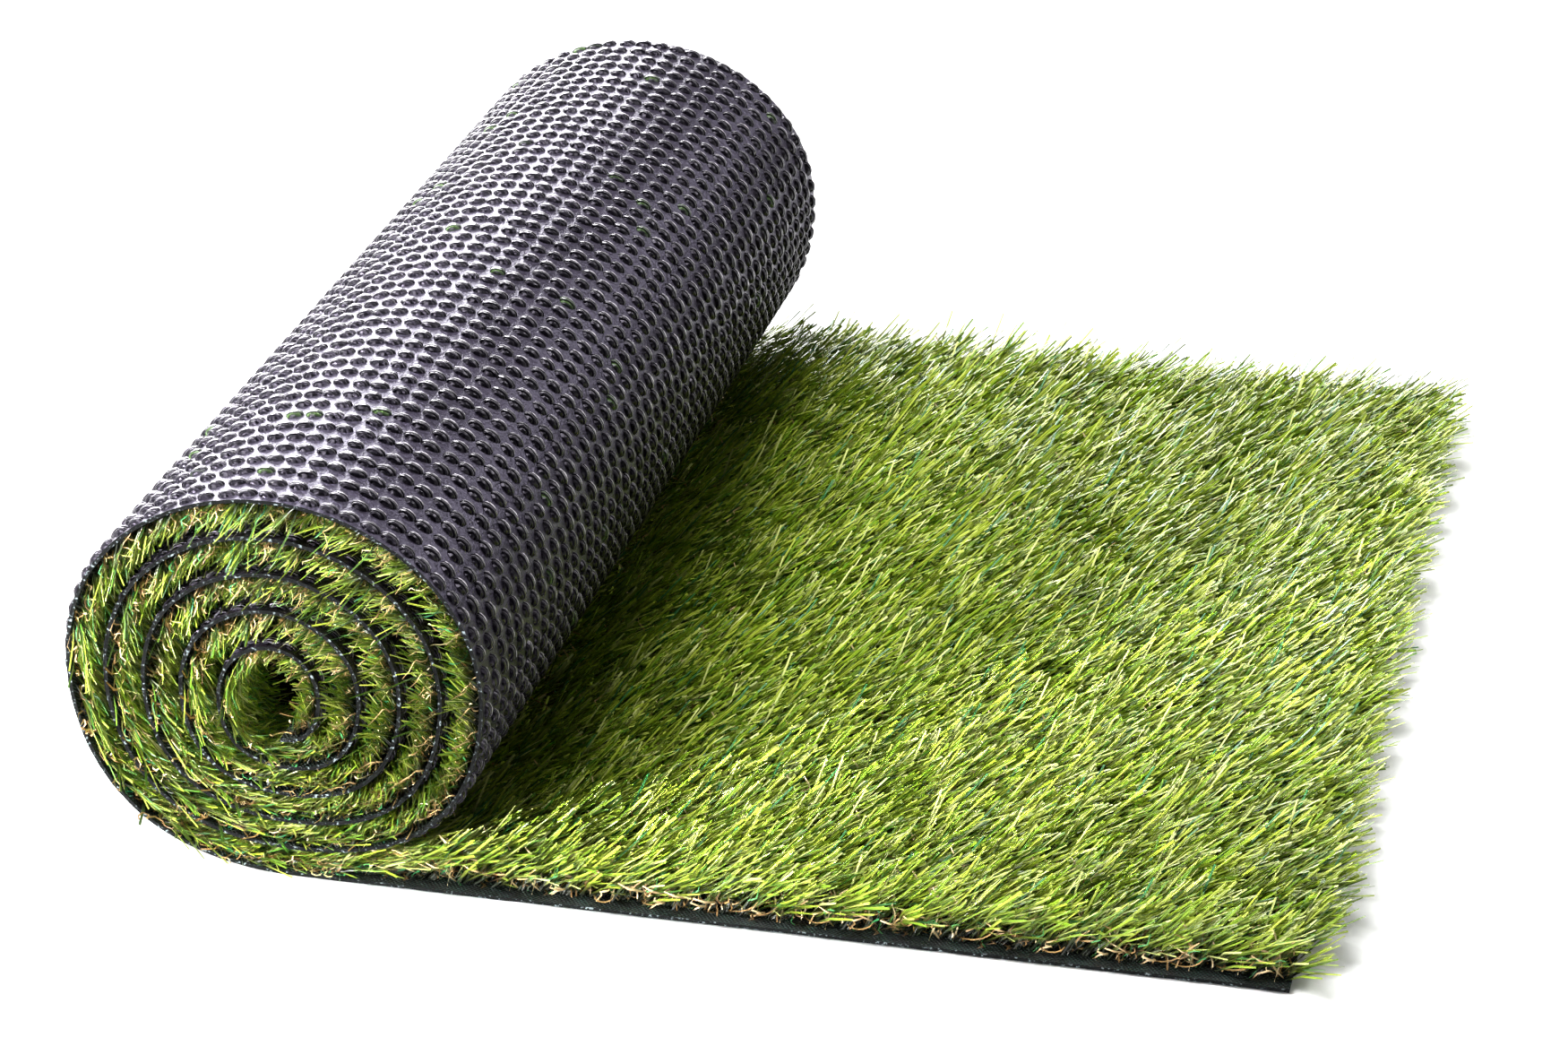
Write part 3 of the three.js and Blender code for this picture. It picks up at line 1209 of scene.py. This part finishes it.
@dataclass
class GrassPile:
    """The grass: blades and curled yarn on the flat length, and at both ends of the roll."""

    repeat: SheetRepeat
    rows: int = 50
    patterns: int = 8
    end_rows: int = 3
    inset: float = 3.4 * MM
    spill: float = 0.2 * MM

    def build(self) -> list[bpy.types.Object]:
        """Lays every stretch of the pile."""
        blade, thatch = BladeYarn().make(), ThatchYarn().make()
        tufts = [Tuft(11 + k) for k in range(self.patterns)]
        pressed = [Tuft(51 + k, COIL_TUFT) for k in range(self.patterns)]
        blades = [yarn_pattern(f"tuft_{t.seed}", t.blade_yarns(), blade) for t in tufts]
        flat = [yarn_pattern(f"tuft_{t.seed}", t.blade_yarns(), blade) for t in pressed]
        curls = [yarn_pattern(f"curl_{t.seed}", t.thatch_yarns(4, 13 * MM), thatch) for t in tufts]
        dense = [yarn_pattern(f"dense_{t.seed}", t.thatch_yarns(9, 15 * MM), thatch) for t in pressed]
        path = self.repeat.path
        end = float(path.along[-1]) - 3 * MM
        open_end = float(path.along[np.argmax(path.room < 9.5 * MM)])
        last, half, inner = self.rows - 1, self.rows // 2, self.end_rows - 1
        root = self.repeat.sheet.thickness - 0.2 * MM
        lawn, coil = (3 * MM, open_end), (open_end, end)
        inset, spill = self.inset, self.spill
        plan = [
            ("lawn_blades_near", blades, Stretch(*lawn, 0, half - 1, inset), blade, 41),
            ("lawn_blades_far", blades, Stretch(*lawn, half, last, inset), blade, 42),
            ("roll_end_blades_near", flat, Stretch(*coil, 0, inner, -spill), blade, 43),
            ("roll_end_blades_far", flat, Stretch(*coil, last - 1, last, spill), blade, 44),
            ("lawn_thatch", curls, Stretch(*lawn, 0, last, inset), thatch, 45),
            ("lawn_edge_thatch", curls, Stretch(*lawn, 0, 1, inset), thatch, 48),
            ("roll_end_thatch_near", dense, Stretch(*coil, 0, inner, -spill), thatch, 46),
            ("roll_end_thatch_far", dense, Stretch(*coil, last - 1, last, spill), thatch, 47),
        ]
        pieces = [
            self.repeat.lay(name, kinds, stretch, finish, seed, root, True)
            for name, kinds, stretch, finish, seed in plan
        ]
        for pattern in blades + flat + curls + dense:
            bpy.data.objects.remove(pattern, do_unlink=True)
        return pieces


# The studio


@dataclass(frozen=True)
class SoftBox:
    """A square soft light: its middle, the point that it faces, its side and its power in watts.

    spread is the full angle of its beam in degrees, and diffuse says whether it lights matt
    surfaces too or is seen in sheen alone.
    """

    name: str
    place: tuple[float, float, float]
    target: tuple[float, float, float]
    size: float
    power: float
    spread: float = 180.0
    diffuse: bool = True

    def build(self) -> None:
        """Adds the light, turned towards its target."""
        data = bpy.data.lights.new(self.name, "AREA")
        data.size = self.size
        data.energy = self.power
        data.spread = math.radians(self.spread)
        lamp = bpy.data.objects.new(self.name, data)
        back = np.array(self.place) - np.array(self.target)
        back = back / np.linalg.norm(back)
        side = np.cross([0.0, 0.0, 1.0], back)
        side = side / np.linalg.norm(side)
        up = np.cross(back, side)
        lamp.matrix_world = Matrix(
            [[side[i], up[i], back[i], self.place[i]] for i in range(3)] + [[0, 0, 0, 1]]
        )
        lamp.visible_diffuse = self.diffuse
        bpy.context.scene.collection.objects.link(lamp)


SOFT_BOXES = (
    SoftBox("back_box", (-1.1, 2.0, 0.6), (-0.1, 0.0, 0.05), 1.4, 195.0, diffuse=False),
    SoftBox("over", (-0.5, 0.35, 1.75), (0.0, 0.0, 0.05), 0.9, 54.0),
    SoftBox("key", (-0.95, -0.45, 1.5), (-0.05, 0.0, 0.05), 0.45, 36.0),
    SoftBox("front", (-1.3, -1.6, 0.45), (-0.3, -0.24, 0.06), 0.35, 5.5, spread=24.0),
    SoftBox("side", (0.9, 1.3, 1.1), (0.0, 0.0, 0.05), 0.4, 14.0),
)


@dataclass
class Studio:
    """The pale floor, the soft lights and the camera at the photograph's angle."""

    eye: tuple[float, float, float] = (0.33050, -1.45378, 0.77967)
    right: tuple[float, float, float] = (0.97270964, 0.23178887, -0.01048251)
    down: tuple[float, float, float] = (0.09357349, -0.43322409, -0.89641558)
    ahead: tuple[float, float, float] = (-0.21232043, 0.87097118, -0.44309054)
    lens: float = 96.226
    floor_size: float = 8.0

    def build(self) -> None:
        """Sets up the floor, the world, the lights and the camera."""
        self._floor()
        self._world()
        for box in SOFT_BOXES:
            box.build()
        self._camera()
        view = bpy.context.scene.view_settings
        view.view_transform = "Standard"

    def _floor(self) -> None:
        """A white floor."""
        half = self.floor_size / 2
        points = np.array([(-half, -half, 0), (half, -half, 0), (half, half, 0), (-half, half, 0)])
        net = ShaderNet("floor_white")
        finish = net.finish(
            Base_Color=(0.9, 0.9, 0.9, 1.0),
            Roughness=0.9,
            Specular_IOR_Level=0.1,
            Emission_Color=(1.0, 1.0, 1.0, 1.0),
            Emission_Strength=0.04,
        )
        mesh_piece("floor", points, [(0, 1, 2, 3)], [finish])

    def _world(self) -> None:
        """A white surround."""
        world = bpy.data.worlds.new("surround")
        world.use_nodes = True
        background = world.node_tree.nodes["Background"]
        background.inputs["Color"].default_value = (1.0, 1.0, 1.0, 1.0)
        background.inputs["Strength"].default_value = 0.12
        bpy.context.scene.world = world

    def _camera(self) -> None:
        """The camera, placed and turned as the photograph was taken."""
        data = bpy.data.cameras.new("photo_camera")
        data.sensor_width = 36.0
        data.lens = self.lens
        data.clip_start = 0.05
        camera = bpy.data.objects.new("photo_camera", data)
        columns = (self.right, [-v for v in self.down], [-v for v in self.ahead], self.eye)
        camera.matrix_world = Matrix(
            [[column[i] for column in columns] for i in range(3)] + [[0, 0, 0, 1]]
        )
        bpy.context.scene.collection.objects.link(camera)
        bpy.context.scene.camera = camera


def main() -> None:
    """Builds the roll piece by piece, hides the CAD parts that the pieces replace, parents each piece
    to the root body, logs its triangles and sets up the studio.
    """
    logging.basicConfig(level=logging.INFO)
    low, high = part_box("turf_backing")
    free_end = high[0]
    sheet = WoundSheet(width=high[1] - low[1], free_end=free_end)
    path = sheet.trace()
    repeat = SheetRepeat(sheet, path)
    plan = [
        ("turf_backing", "latex_backing", [Backing(sheet, path).build()] + StitchBack(repeat).build()),
        ("grass_pile", "grass_yarn", GrassPile(repeat).build()),
    ]
    repeat.clear()
    for node, slot, pieces in plan:
        for piece in pieces:
            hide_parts(node)
            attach(piece, "root")
            piece.data.calc_loop_triangles()
            LOG.info("%s: %d triangles", piece.name, len(piece.data.loop_triangles))
    Studio().build()


if __name__ == "__main__":
    main()
